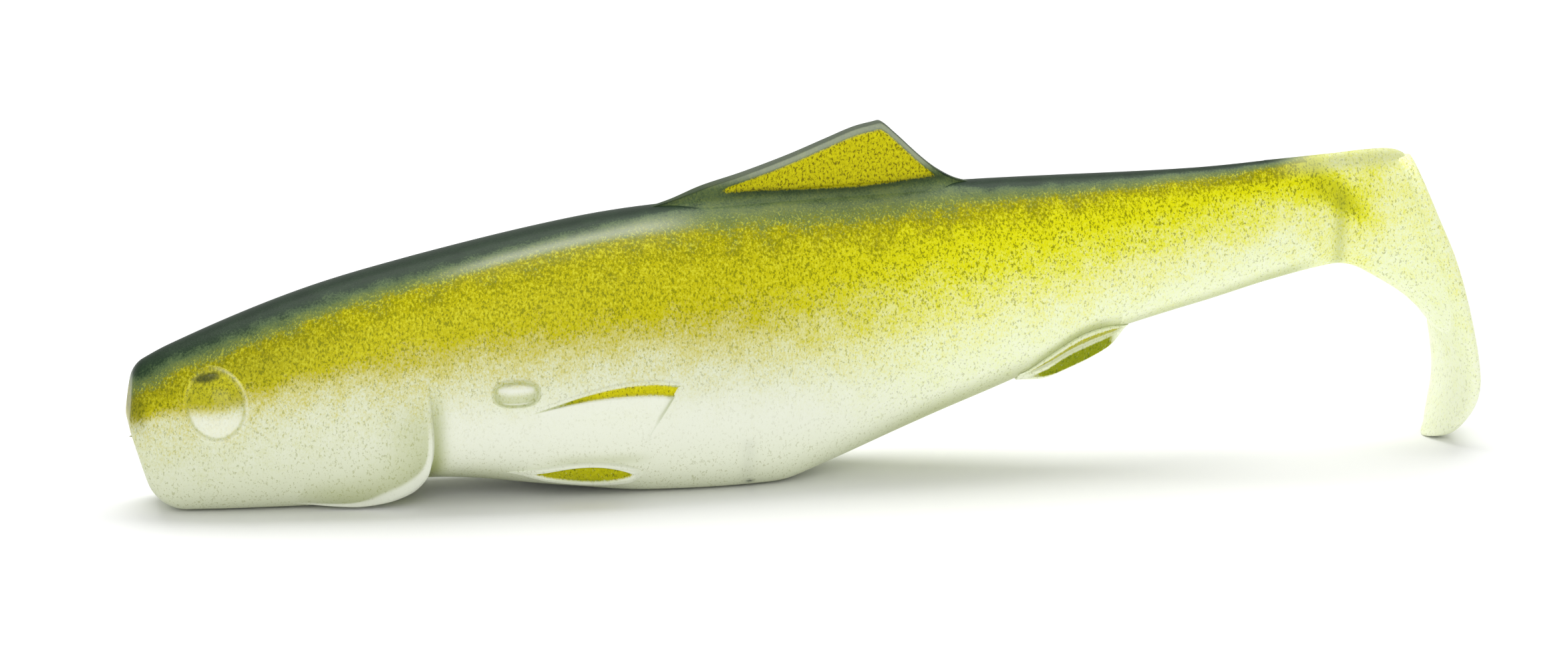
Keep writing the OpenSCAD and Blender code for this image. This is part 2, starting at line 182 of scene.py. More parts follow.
def make(name, points, faces, normals, caps, marks, level=None):
    """A mesh in metres from points in mm. normals is one per point; a cap is (faces, normal).
    marks are the yellow, olive, pale and dark paint shares of each point."""
    a, b, c, d = (points[faces[:, i]] for i in range(4))
    if np.einsum("ij,ij->", np.cross(c - a, d - b), normals[faces[:, 0]]) < 0:
        faces = faces[:, ::-1]
    mesh = bpy.data.meshes.new(name)
    all_faces = faces.tolist() + [face for cap, _ in caps for face in cap.tolist()]
    mesh.from_pydata((points / 1000).tolist(), [], all_faces)
    mesh.polygons.foreach_set("use_smooth", np.ones(len(mesh.polygons), bool))
    corner_normals = np.concatenate(
        [normals[faces.reshape(-1)]] + [np.broadcast_to(n, (cap.size, 3)) for cap, n in caps]
    )
    mesh.normals_split_custom_set(corner_normals.tolist())
    level = level_of(points) if level is None else level
    for title, kind, field, values in (
        ("rest", "FLOAT_VECTOR", "vector", points),
        ("level", "FLOAT", "value", level),
        ("marks", "FLOAT_COLOR", "color", marks),
    ):
        put = mesh.attributes.new(title, kind, "POINT")
        put.data.foreach_set(field, values.astype(np.float32).reshape(-1))
    obj = bpy.data.objects.new(name, mesh)
    bpy.context.scene.collection.objects.link(obj)
    return obj


def outward_fan(points, ring, centre, way):
    """Triangles from each pair of neighbours in a ring of point numbers to a centre point,
    wound to face one way."""
    faces = np.stack((ring, np.roll(ring, -1), np.full(len(ring), centre)), -1)
    a, b, c = (points[faces[:, i]] for i in range(3))
    if np.cross(b - a, c - a).sum(0) @ np.array(way) < 0:
        faces = faces[:, ::-1]
    return faces, np.array(way, float)


def end_fans(points, rows, columns, ways):
    """Fans over the first and the last row of a grid, to the two points kept after it."""
    first, size = np.arange(columns), rows * columns
    return [
        outward_fan(points, first, size, ways[0]),
        outward_fan(points, first + size - columns, size + 1, ways[1]),
    ]


def closed_rings(p, tips=None, ways=((-1.0, 0, 0), (1.0, 0, 0)), normals=None):
    """Rings closed by a fan to a tip at each end: the points, faces, normals and caps of make.
    A tip is its ring's middle unless it is given, and ways are the normals of the two fans."""
    n = grid_normals(p, wrap=True) if normals is None else normals
    n = n * np.sign((n * (p - p.mean(1, keepdims=True)))[..., 1:].sum())
    points = np.concatenate((p.reshape(-1, 3), p[[0, -1]].mean(1) if tips is None else tips))
    size = p.shape[:2]
    all_normals = np.concatenate((n.reshape(-1, 3), ways))
    return points, quads(*size, wrap=True), all_normals, end_fans(points, *size, ways)


def paint(total, yellow=0.0, olive=0.0, pale=0.0, dark=0.0):
    """Paint shares of a mesh's points, a row each; points after the given grid stay bare."""
    shares = np.stack(np.broadcast_arrays(yellow, olive, pale, dark), -1).reshape(-1, 4)
    return np.concatenate((shares, np.zeros((total - len(shares), 4))))


def round_angles():
    """Angles round a section: close together along the belly, even over the flanks and back."""
    y = np.concatenate((np.linspace(0, 1.2, 13), np.linspace(1.45, 5.5, 18)))
    low = -np.arccos((y / 7.6) ** 1.4)
    right = np.concatenate((low, np.linspace(low[-1], math.pi / 2, 96)[1:]))
    return np.concatenate((right, math.pi - right[-2:0:-1]))[None, :]


def nose_plane(z):
    """The two nose facets, x = -60 + tan(lean) (sqrt((z - edge)^2 + s^2) - s): two straight cuts
    that meet in a soft edge."""
    off = z - NOSE_EDGE
    lean = np.where(off > 0, math.tan(UPPER_LEAN), math.tan(LOWER_LEAN))
    return NOSE + lean * (np.sqrt(off * off + NOSE_SOFT**2) - NOSE_SOFT)


def body_points():
    """Rings of the body: x = nose(z) + setback, the section drawn in by the corner's radius.

    The first rings scale the nose outline up from its centre, the next turn a corner of radius
    r with x = nose + r (1 - cos f) and inset r (1 - sin f), and the rest run to the last one."""
    a = round_angles()
    share = np.concatenate((np.linspace(0.02, 1, NOSE_RINGS), np.ones(CORNER_RINGS)))[:, None]
    corner = np.linspace(0, math.pi / 2, CORNER_RINGS + 1)[1:]
    turn = np.concatenate((np.zeros(NOSE_RINGS), corner))[:, None]
    near_hole = HOLE_X + np.linspace(-1.1, 1.1, 29)
    along = np.concatenate(
        (np.linspace(-58.5, -7.2, 220), near_hole, np.linspace(-4.8, REAR_START, 92))
    )
    run = ((along - CORNER_END) / (REAR_START - CORNER_END))[:, None]
    share = np.concatenate((share, np.ones_like(run)))
    turn = np.concatenate((turn, np.full_like(run, math.pi / 2)))
    run = np.concatenate((np.zeros((NOSE_RINGS + CORNER_RINGS, 1)), run))
    down, up = np.maximum(-np.sin(a), 0), np.maximum(np.sin(a), 0)
    radius = 1.0 + 1.8 * down**2 - 0.15 * up**2
    y, z = section(np.full_like(a * share, NOSE + 1), a)
    for _ in range(6):
        x = (nose_plane(z) + radius * (1 - np.cos(turn))) * (1 - run) + REAR_START * run
        y, z = section(x, a)
        high, inset = z - NOSE_CENTRE, radius * (1 - np.sin(turn))
        keep = (1 - inset / np.maximum(np.hypot(y, high), 1e-6)) * share
        y, z = y * keep, NOSE_CENTRE + high * keep
    return np.stack((x, y, z), -1)


def sunk(p):
    """The body's rings pressed in along the normal by d exp(-(distance / w)^2) from a line just
    behind the gill cover's edge, and up by the hole's depth inside its radius. Both distances
    are given back with the points."""
    x, y, z = (p[..., i] for i in range(3))
    n = grid_normals(p, wrap=True)
    n *= np.sign((n * (p - (0, 0, 10)))[..., 1:].sum(-1, keepdims=True))
    v = np.linspace(0, 1, 90)
    edge_x, edge_z = curve(GILL_EDGE_X, v), curve(GILL_EDGE_Z, v)
    from_line = (x[..., None] - edge_x - FOLD_BEHIND) ** 2 + (z[..., None] - edge_z) ** 2
    away = np.sqrt(from_line.min(-1))
    fold = FOLD_DEPTH * bump(away, 0, FOLD_WIDTH) * smooth(-40.5, -37, x) * smooth(13.5, 8, z)
    fold = np.where(np.abs(y) > 0.4 * curve(HALF_WIDTH, x), fold, 0)
    ring = np.hypot(x - HOLE_X, y)
    inside = 1 - smooth(HOLE_RADIUS - HOLE_EDGE, HOLE_RADIUS + HOLE_EDGE, ring)
    out = p - n * fold[..., None]
    out[..., 2] += HOLE_DEPTH * inside * (z < 3)
    return out, away, ring


def bare_and_highlit_flank(x, z):
    """Share of pale on the lower flank: partly vinyl that the spray from above misses, partly a
    painted highlight where the floor and front light reflect.
    """
    return 0.7 * bump(z, 7.0, 3.0) * smooth(-34.7, -33, x) * smooth(12, -4, x)


body_rings = body_points()
body_grid, edge_distance, hole_distance = sunk(body_rings)
# The shading follows the pressed skin only by the fold and under the belly
by_fold = (edge_distance < 2.5) & (body_rings[..., 0] < -30)
pressed = (by_fold | (body_rings[..., 2] < 3))[..., None]
shading = np.where(pressed, grid_normals(body_grid, wrap=True), grid_normals(body_rings, wrap=True))
points, faces, normals, caps = closed_rings(
    body_grid, tips=((NOSE + 0.03, 0, NOSE_CENTRE), (REAR_START, 0, 18)), normals=shading
)
x, y, z = (body_grid[..., i] for i in range(3))
level = level_of(body_grid)
share_up = (z - curve(BELLY_LINE, x)) / (curve(BACK_LINE, x) - curve(BELLY_LINE, x))
# Olive on the cheek and over the anal fin's ridge; painted olive shade in the fold behind the
# gill cover, over the pelvic fins and along the underside of the belly
fold = bump(edge_distance, 0, 0.85) * smooth(-40, -36.5, x) * smooth(12, 6, z)
cheek = smooth(10, 2, z) * (1 - smooth(-36.5, -35.5, x))
pelvic_fin_shade = bump(z, 4.0, 0.55) * smooth(-26, -22, x) * smooth(-14.5, -18, x)
over_keel = bump(z - curve(ANAL_RIDGE, x), 0.4, 0.5) * smooth(18.5, 20.5, x) * smooth(27, 25, x)
olive = (
    0.75 * fold + 0.2 * cheek + 0.35 * pelvic_fin_shade + 0.35 * over_keel
    + (0.2 + 0.25 * smooth(-24, -30, x) + 0.45 * smooth(0, 10, x))
    * smooth(0.17, 0.02, share_up) * smooth(-34.7, -33, x)
)
glint = 0.3 * bump(level, 1.5, 0.35) * smooth(-36, -27, x) * smooth(-9, -16, x)
# Dark marks: painted shade in a streak above the hole, where the shadow inside shows through
# the thin flank, at the hole's mouth and inside the hole, and shade on nose and throat
shadow_streak = 0.08 * bump(x, -6.9, 0.7) * smooth(5.6, 4.6, z) * (y < 0)
hole_mouth_shade = 0.9 * bump(np.hypot(x + 6.5, 1.8 * (z - 0.75)), 0, 0.3) * (y < 0)
hole_shade = smooth(1.0, 0.5, hole_distance) * (z > 0.2) * (z < 6)
nose_green = 0.35 * smooth(-58.1, -59.3, x) * bump(z, 9.2, 1.5)
shade = 0.22 * smooth(-38, -50, x) * bump(level, 2.5, 0.7)
throat = 0.22 * smooth(0.12, 0.0, share_up) + 0.22 * smooth(0.04, 0.0, share_up)
throat = throat * smooth(-36, -34.5, x) * smooth(-14, -22, x)
dark = shadow_streak + hole_mouth_shade + hole_shade + nose_green + shade + throat
body = make(
    "body_skin", points, faces, normals, caps,
    paint(
        len(points), olive=np.clip(olive, 0, 1), pale=bare_and_highlit_flank(x, z) + glint,
        dark=np.clip(dark, 0, 1),
    ),
)


def tone(red, green, blue):
    """A linear colour from its 0-255 display values."""
    part = np.array((red, green, blue)) / 255
    line = np.where(part <= 0.04045, part / 12.92, ((part + 0.055) / 1.055) ** 2.4)
    return (*[float(v) for v in line], 1.0)


def airbrush_group():
    """Node group: the airbrushed coat. Fine droplets break up the edges of every band, and the
    marks add yellow panels, olive paint and painted olive shade, pale beads and painted
    highlights, and dark spots and painted shade."""
    group = bpy.data.node_groups.new("airbrush", "ShaderNodeTree")
    for name, kind in (("Colour", "Color"), ("Height", "Float")):
        group.interface.new_socket(name, in_out="OUTPUT", socket_type=f"NodeSocket{kind}")
    nodes, links = group.nodes, group.links

    def attribute(name, output):
        node = nodes.new("ShaderNodeAttribute")
        node.attribute_name = name
        return node.outputs[output]

    def feed(socket, value):
        if hasattr(value, "node"):
            links.new(value, socket)
        else:
            socket.default_value = value

    def maths(operation, *values):
        node = nodes.new("ShaderNodeMath")
        node.operation = operation
        for socket, value in zip(node.inputs, values):
            feed(socket, value)
        return node.outputs[0]

    def noise(scale, detail, stretch=(1, 1, 1), rough=0.6):
        mapping, texture = nodes.new("ShaderNodeMapping"), nodes.new("ShaderNodeTexNoise")
        mapping.inputs["Scale"].default_value = stretch
        texture.inputs["Scale"].default_value = scale
        texture.inputs["Detail"].default_value = detail
        texture.inputs["Roughness"].default_value = rough
        links.new(rest, mapping.inputs["Vector"])
        links.new(mapping.outputs[0], texture.inputs["Vector"])
        return texture.outputs[0]

    def mix(share, under, over):
        node = nodes.new("ShaderNodeMix")
        node.data_type = "RGBA"
        for number, value in ((0, share), (6, under), (7, over)):
            feed(node.inputs[number], value)
        return node.outputs[2]

    def between(value, low, high):
        node = nodes.new("ShaderNodeMapRange")
        node.interpolation_type = "SMOOTHSTEP"
        links.new(value, node.inputs["Value"])
        node.inputs["From Min"].default_value = low
        node.inputs["From Max"].default_value = high
        return node.outputs[0]

    rest, level = attribute("rest", "Vector"), attribute("level", "Fac")
    split = nodes.new("ShaderNodeSeparateColor")
    links.new(attribute("marks", "Color"), split.inputs[0])
    yellow, olive, pale = split.outputs
    dark = attribute("marks", "Alpha")
    fine = noise(5.0, 2, (1.15, 1, 0.8), 0.75)
    drops = noise(4.0, 2, (1.2, 1, 0.75), 0.75)
    coarse = noise(0.55, 2)
    loose = maths("MULTIPLY_ADD", between(level, 2.2, 3.3), 0.9, 1.3)
    jitter = maths("MULTIPLY_ADD", maths("SUBTRACT", fine, 0.5), loose, level)
    jitter = maths("MULTIPLY_ADD", maths("SUBTRACT", coarse, 0.5), 1.1, jitter)
    jitter = maths("DIVIDE", jitter, 5.0)
    place = nodes.new("ShaderNodeSeparateXYZ")
    links.new(rest, place.inputs[0])

    def bands(stops):
        ramp = nodes.new("ShaderNodeValToRGB")
        links.new(jitter, ramp.inputs[0])
        first, last = ramp.color_ramp.elements
        first.position, first.color = stops[0]
        last.position, last.color = stops[-1]
        for at, shade in stops[1:-1]:
            ramp.color_ramp.elements.new(at).color = shade
        return ramp.outputs[0]

    back = (
        (0.0, tone(26, 44, 26)), (0.13, tone(40, 60, 38)), (0.22, tone(84, 104, 66)),
        (0.34, tone(116, 130, 68)), (0.42, tone(164, 158, 0)),
    )
    front = bands(back + (
        (0.50, tone(194, 188, 0)), (0.60, tone(198, 191, 0)), (0.66, tone(200, 192, 70)),
        (0.77, tone(216, 213, 142)), (0.88, tone(226, 230, 196)), (1.0, tone(234, 238, 216)),
    ))
    behind = bands(back + (
        (0.50, tone(224, 222, 0)), (0.58, tone(232, 231, 0)), (0.66, tone(236, 238, 80)),
        (0.75, tone(242, 244, 154)), (0.86, tone(244, 251, 204)), (1.0, tone(248, 253, 226)),
    ))
    droplet, sunlit = tone(134, 136, 0), tone(232, 232, 60)
    panel_yellow, panel_droplet = tone(206, 198, 0), tone(126, 118, 0)
    # The olive and panel green colours carry olive paint and painted shade, the clear vinyl colour
    # carries bare vinyl and painted highlights, and the dark colour dark paint and painted shade
    panel_light, panel_green_and_shade = tone(226, 220, 20), tone(92, 122, 0)
    olive_paint_and_shade = tone(146, 156, 56)
    clear_vinyl_and_highlight, dark_paint_and_shade = tone(240, 243, 228), tone(24, 42, 22)
    colour = mix(between(place.outputs[0], -12, 18), front, behind)
    sparse = maths("MULTIPLY_ADD", between(level, 2.7, 3.9), -0.045, drops)
    speck = between(sparse, 0.53, 0.60)
    fade = maths("SUBTRACT", 1.0, maths("MULTIPLY", between(level, 2.8, 4.6), 0.55))
    start = between(level, 0.9, 2.1)
    specks = maths("MULTIPLY", maths("MULTIPLY", speck, maths("MULTIPLY", fade, start)), 0.85)
    colour = mix(specks, colour, droplet)
    light = between(drops, 0.46, 0.38)
    sunny = maths("MULTIPLY", maths("MULTIPLY", light, start), between(level, 3.5, 2.7))
    colour = mix(maths("MULTIPLY", sunny, 0.5), colour, sunlit)
    panel = mix(speck, panel_yellow, panel_droplet)
    panel = mix(maths("MULTIPLY", light, 0.7), panel, panel_light)
    panel = mix(olive, panel, panel_green_and_shade)
    colour = mix(olive, colour, olive_paint_and_shade)
    rough_edge = maths("MULTIPLY_ADD", maths("SUBTRACT", fine, 0.5), 1.2, yellow)
    colour = mix(between(rough_edge, 0.3, 0.7), colour, panel)
    colour = mix(pale, colour, clear_vinyl_and_highlight)
    colour = mix(dark, colour, dark_paint_and_shade)
    out = nodes.new("NodeGroupOutput")
    links.new(colour, out.inputs["Colour"])
    links.new(fine, out.inputs["Height"])
    return group


airbrush = airbrush_group()


def plastisol(name, roughness, shine, grain):
    """Airbrushed plastisol: painted vinyl with a soft sheen, under a thin clear top coat."""
    material = bpy.data.materials.new(name)
    material.use_nodes = True
    nodes, links = material.node_tree.nodes, material.node_tree.links
    shader = nodes["Principled BSDF"]
    coat = nodes.new("ShaderNodeGroup")
    coat.node_tree = airbrush
    links.new(coat.outputs["Colour"], shader.inputs["Base Color"])
    shader.inputs["Roughness"].default_value = roughness
    shader.inputs["IOR"].default_value = 1.5
    shader.inputs["Specular IOR Level"].default_value = shine
    shader.inputs["Coat Weight"].default_value = 0.2 * shine
    shader.inputs["Coat Roughness"].default_value = 0.12
    relief = nodes.new("ShaderNodeBump")
    relief.inputs["Distance"].default_value = 0.00004
    relief.inputs["Strength"].default_value = grain
    links.new(coat.outputs["Height"], relief.inputs["Height"])
    links.new(relief.outputs[0], shader.inputs["Normal"])
    return material


skin_material = plastisol("body_plastisol", 0.36, 0.1, 0.5)
body.data.materials.append(skin_material)
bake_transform(body)
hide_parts("head", "trunk")

# ---- Rear body --------------------------------------------------------------------------
# The same skin carried on from the line behind the anal fin to the middle of the wrist, with
# painted olive shade along its underside, where the mould's flash runs. It bends at the wrist.
WRIST_END = 41.0


def rear_points():
    """Rings of the body's section at even steps of x, from its seam to the middle of the wrist."""
    x = np.linspace(REAR_START, WRIST_END, 70)[:, None]
    return np.stack(np.broadcast_arrays(x, *section(x, round_angles())), -1)


points, faces, normals, caps = closed_rings(rear_points())
# Painted olive shade along the underside
underside_shade = 0.55 * smooth(1.7, 0.3, points[:, 2] - curve(BELLY_LINE, points[:, 0]))
rear = make("rear_skin", points, faces, normals, caps, paint(len(points), olive=underside_shade))
rear.data.materials.append(skin_material)
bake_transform(rear)
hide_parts("rear_body")

# ---- Tail: wrist, neck and heel web ------------------------------------------------------
# The thin neck lets the tail kick from side to side. Behind it, a web spreads in a fillet
# into the front of the paddle. Moulded with the rest, with yellow sprayed on its upper part.
PADDLE_TOP, PADDLE_BELLY, PADDLE_HALF, PADDLE_THICK = 26.2, 8.0, 6.0, 2.2
PADDLE_REAR = (
    (0, 58), (0.96, 59.0), (4, 60.3), (6.8, 60.4), (12.4, 59.35), (17.3, 58), (21.1, 56.5),
    (25.4, 54.8), (26.6, 54.2),
)
WEB_BACK = (
    (34.5, 25.8), (47.3, 26.6), (50, 26.8), (52, 26.85), (53.2, 26.65), (54.1, 26.1),
    (54.8, 25.1), (60, 20),
)
WEB_BELLY = (
    (34.5, 13.6), (41, 15.26), (47.3, 16.5), (49.2, 16.3), (51.3, 15.2), (53.8, 13.6), (55.4, 12.2),
    (56.6, 10.8), (57.6, 9.8), (60, 9.4),
)


def paddle_half(z):
    """Half width of the blade: an ellipse of height 8 below the widest place, 18.2 above it."""
    below, above = 1 - z / PADDLE_BELLY, (z - PADDLE_BELLY) / (PADDLE_TOP - PADDLE_BELLY)
    share = np.where(z < PADDLE_BELLY, below, above)
    return PADDLE_HALF * np.sqrt(np.maximum(1 - share**2, 0))


def tail_points():
    """Rings from the wrist to inside the paddle. x runs to rear(z) - 1.0, or 0.45 farther by
    the top, and the web's half width grows to the paddle's as exp(-gap / 1.2), where gap is the
    distance to its front. The neck is drawn in by exp(-((x - 47.6) / 0.9)^2)."""
    a = round_angles()[:, ::2]
    share = np.concatenate((np.linspace(0, 0.6, 60), np.linspace(0.6, 1, 50)[1:]))[:, None]
    x = WRIST_END - 0.02 + share * 16 + 0 * a
    for _ in range(12):
        y, z = section(x, a, WEB_BACK, WEB_BELLY)
        end = curve(PADDLE_REAR, z) - 1.0 + 0.45 * smooth(25.4, 26.4, z)
        x = 0.5 * x + 0.5 * (WRIST_END + share * (end - WRIST_END))
    gap = np.maximum(curve(PADDLE_REAR, z) - 1.5 - x, 0)
    spread = np.maximum(paddle_half(z) - 0.15 - np.abs(y), 0) * np.exp(-gap / 1.2)
    y = y + np.sign(np.cos(a)) * spread * np.abs(np.cos(a)) ** 0.6
    y = y * (1 - 0.18 * bump(x, 47.6, 0.9))
    return np.stack((x, y, z), -1)


def tail_level(p):
    """Airbrush level over the tail: the dark back runs out before the neck, and the yellow band
    dips and thins out to loose droplets over the heel."""
    x, z = p[:, 0], p[:, 2]
    depth = np.maximum(curve(BACK_LINE, x) - z, 0)
    dip = curve(((34, 1.0), (42, 1.6), (45, 2.3), (47.3, 3.5), (49.6, 5.2), (53, 8.5)), x)
    band = bump(depth, dip, 1.5) * smooth(53, 46.5, x)
    bare = 3.62 - 1.15 * band + 0.06 * np.maximum(depth - 3, 0)
    share = smooth(41, 47.5, x)
    return level_of(p) * (1 - share) + (bare + 0.25 * smooth(50, 53, x)) * share


points, faces, normals, caps = closed_rings(tail_points())
x, _, z = points.T
level = tail_level(points)
crown = smooth(41, 45.5, x) * smooth(1.8, 0.5, curve(BACK_LINE, x) - z)
neck = bump(x, 47.7, 0.6) * smooth(25, 21, z)
yellow_band = smooth(43, 47, x) * smooth(3.4, 2.8, level)
# Painted olive shade along the underside of the wrist and web
underside_shade = smooth(1.7, 0.3, z - curve(WEB_BELLY, x)) * smooth(46.5, 42.5, x)
olive = 0.35 * neck + 0.4 * crown + 0.25 * yellow_band + 0.55 * underside_shade
tail = make(
    "tail_skin", points, faces, normals, caps,
    paint(len(points), olive=olive, pale=0.2 * crown), level,
)
tail_material = plastisol("tail_plastisol", 0.36, 0.1, 0.4)
tail.data.materials.append(tail_material)
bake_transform(tail)
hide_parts("tail_wrist", "tail_heel")

# ---- Paddle -----------------------------------------------------------------------------
# A leaf-shaped vinyl blade that hangs across the tail; its free lower part folds back. It is
# almost unpainted, so light passes through it, and its lower part is painted paler: partly
# bare vinyl, partly a painted glow of the light shining through.


def paddle_points():
    """Closed leaf: y = half(z) cos^0.8 t and x = rear(z) - T/2 + T/2 sin^0.75 t. The thickness T
    is 2.2 (0.6 + 0.4 sqrt(half / 4.5)), so that it thins out to the toe and the top."""
    s = np.linspace(0.012, 1 - 0.012, 150)[:, None]
    t = np.linspace(0, 2 * math.pi, 96, endpoint=False)[None, :]
    z = PADDLE_TOP * 0.5 * (1 - np.cos(math.pi * s)) + 0 * t
    half = paddle_half(z)
    thick = PADDLE_THICK * (0.6 + 0.4 * np.sqrt(np.clip(half / 4.5, 0, 1)))
    c, s = np.cos(t), np.sin(t)
    y = half * np.sign(c) * np.abs(c) ** 0.8
    x = curve(PADDLE_REAR, z) - thick / 2 + thick / 2 * np.sign(s) * np.abs(s) ** 0.75
    return np.stack((x, y, z), -1)


blade = paddle_points()
tips = blade[[0, -1]].mean(1)
tips[:, 2] = 0.02, PADDLE_TOP + 0.05
points, faces, normals, caps = closed_rings(blade, tips, ways=((0.0, 0, -1), (0.0, 0, 1)))
z = points[:, 2]
# Paler towards the toe: partly bare vinyl, partly a painted glow of light through the blade
paddle = make(
    "paddle_blade_skin", points, faces, normals, caps,
    paint(len(points), pale=0.35 * smooth(9, 3, z)), 4.05 + 0.5 * smooth(20, 7, z),
)
paddle.data.materials.append(tail_material)
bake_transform(paddle)
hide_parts("paddle_blade")

# ---- Back fin ---------------------------------------------------------------------------
# A thin vinyl fin, rising slowly from the front to a tip behind its middle. Each side has a
# sunk yellow panel inside a raised grey-green rim, and its root spreads into the back.
FIN_TOP = (
    (-17, 23.9), (-14.6, 24.5), (-12.4, 25.15), (-9.6, 26.2), (-6.2, 27.2), (-2.1, 28.6),
    (1.2, 29.9), (3.65, 30.85), (5.4, 31.25), (6.1, 31.3), (7.4, 30.2), (9.6, 28.1),
    (11.2, 26.8), (13, 25.85), (15.5, 25.35), (17, 25.0),
)
FIN_PANEL_LOW = ((-14, 25.0), (-6.4, 25.45), (4, 25.5), (10.8, 26.1), (14, 26.4))
FIN_START, FIN_END, FILLET_SHARE, FIN_PALEST = -16.4, 16.6, 0.3, 1.15


def fin_points():
    """Sections across the fin, from the left root over the top to the right root: a quarter
    turn of fillet, y = c + s (1 - sin f) and z = skin + h (1 - cos f), with its root on the
    skin, then a side of half thickness c sqrt(1 - k^5) that climbs to the top with k, less 0.22
    in the panel."""
    x = np.linspace(FIN_START, FIN_END, 210)[:, None]
    t = np.linspace(-1, 1, 141)[None, :]
    up = 1 - np.abs(t)
    back, wide, low = curve(BACK_LINE, x), curve(HALF_WIDTH, x), curve(BELLY_LINE, x)
    rise = np.maximum(curve(FIN_TOP, x) - back, -0.1)
    tall = smooth(-0.1, 1.4, rise)
    turn = np.clip(up / FILLET_SHARE, 0, 1) * math.pi / 2
    climb = np.clip((up - FILLET_SHARE) / (1 - FILLET_SHARE), 0, 1)
    core = 0.3 + 0.42 * tall
    half = core + (0.3 + 1.3 * tall) * (1 - np.sin(turn))
    middle = low + WIDE_SHARE * (back - low)
    skin = middle + (back - middle) * (1 - (half / wide) ** UPPER_POWER) ** (1 / UPPER_POWER)
    foot = skin + 0.6 * np.minimum(np.maximum(rise, 0), 1) * (1 - np.cos(turn))
    foot = foot - 0.12 * (1 - np.sin(turn)) - 0.15 * (1 - tall)
    top = back + rise
    z = foot + np.maximum(top - foot, 0) * np.sin(climb * math.pi / 2)
    half = np.where(climb > 0, core * np.sqrt(np.maximum(1 - climb**5, 0)), half)
    panel = (
        smooth(0.0, 0.4, z - curve(FIN_PANEL_LOW, x)) * smooth(0.45, 0.9, top - z)
        * smooth(-9.0, -6.9, x) * smooth(12.8, 11.6, x)
    )
    half = half - 0.22 * panel * (climb > 0)
    return np.stack((x + 0 * z, np.sign(t) * half, z), -1), panel, top - z, z - back


def closed_strip(p, inside, lid_way):
    """Sections open on one side, closed by a lid from edge to edge and a fan at each end: the
    points, faces, normals and caps of make. inside is a point within the fin."""
    rows, columns = p.shape[:2]
    n = grid_normals(p)
    n *= np.sign((n * (p - inside))[..., 1:].sum())
    points = np.concatenate((p.reshape(-1, 3), p[[0, -1]].mean(1)))
    near, far = np.arange(rows - 1) * columns, np.arange(1, rows) * columns
    lid = np.stack((near, far, far + columns - 1, near + columns - 1), -1)
    lid = lid[:, ::-1] if lid_way[2] > 0 else lid
    ways = ((-1.0, 0, 0), (1.0, 0, 0))
    caps = [(lid, np.array(lid_way)), *end_fans(points, rows, columns, ways)]
    return points, quads(rows, columns), np.concatenate((n.reshape(-1, 3), ways)), caps


fin_grid, panel, under_edge, rise = fin_points()
x, z = fin_grid[..., 0], fin_grid[..., 2]
rim = smooth(1.1, 0.75, under_edge) * (1 - panel) * smooth(1.0, 2.5, rise)
foot = bump(z - curve(FIN_PANEL_LOW, x), 0.12, 0.3) * smooth(-9, -6, x)
dark = 0.6 * foot * smooth(13, 11, x) + 0.75 * smooth(0.22, 0.05, under_edge)
points, faces, normals, caps = closed_strip(fin_grid, (1.5, 0, 25), (0, 0, -1.0))
fin_level = np.maximum(level_of(fin_grid).reshape(-1), FIN_PALEST)
back_fin = make(
    "back_fin_skin", points, faces, normals, caps,
    paint(len(points), yellow=panel, pale=0.28 * rim, dark=dark),
    np.concatenate((fin_level, (FIN_PALEST, FIN_PALEST))),
)
fin_material = plastisol("fin_plastisol", 0.36, 0.1, 0.5)
back_fin.data.materials.append(fin_material)
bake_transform(back_fin)
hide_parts("dorsal_fin")

# ---- Gill covers ------------------------------------------------------------------------
# A plate moulded proud of each cheek. Its rear and lower edge ends in a smooth, thick bead of
# clear vinyl, over a deep fold.
LEFT, RIGHT = -1, 1


def flank(x, z):
    """Half width of the skin: w (1 - |(z - m) / r|^p)^(1/p), widest at the height m."""
    top, low = curve(BACK_LINE, x), curve(BELLY_LINE, x)
    middle = low + WIDE_SHARE * (top - low)
    upper = z > middle
    share = np.where(upper, (z - middle) / (top - middle), (middle - z) / (middle - low))
    power = np.where(upper, UPPER_POWER, curve(LOWER_POWER, x))
    return curve(HALF_WIDTH, x) * np.maximum(1 - share**power, 1e-6) ** (1 / power)


def lifted(side, x, z, lift):
    """Points on one flank, raised along the skin's normal (-df/dx, side, -df/dz)."""
    half, step = flank(x, z), 0.03
    dx = (flank(x + step, z) - flank(x - step, z)) / (2 * step)
    dz = (flank(x, z + step) - flank(x, z - step)) / (2 * step)
    n = np.stack((-dx, np.full_like(half, side), -dz), -1)
    n /= np.linalg.norm(n, axis=-1, keepdims=True)
    return np.stack((x, side * half, z), -1) + n * np.asarray(lift)[..., None], n


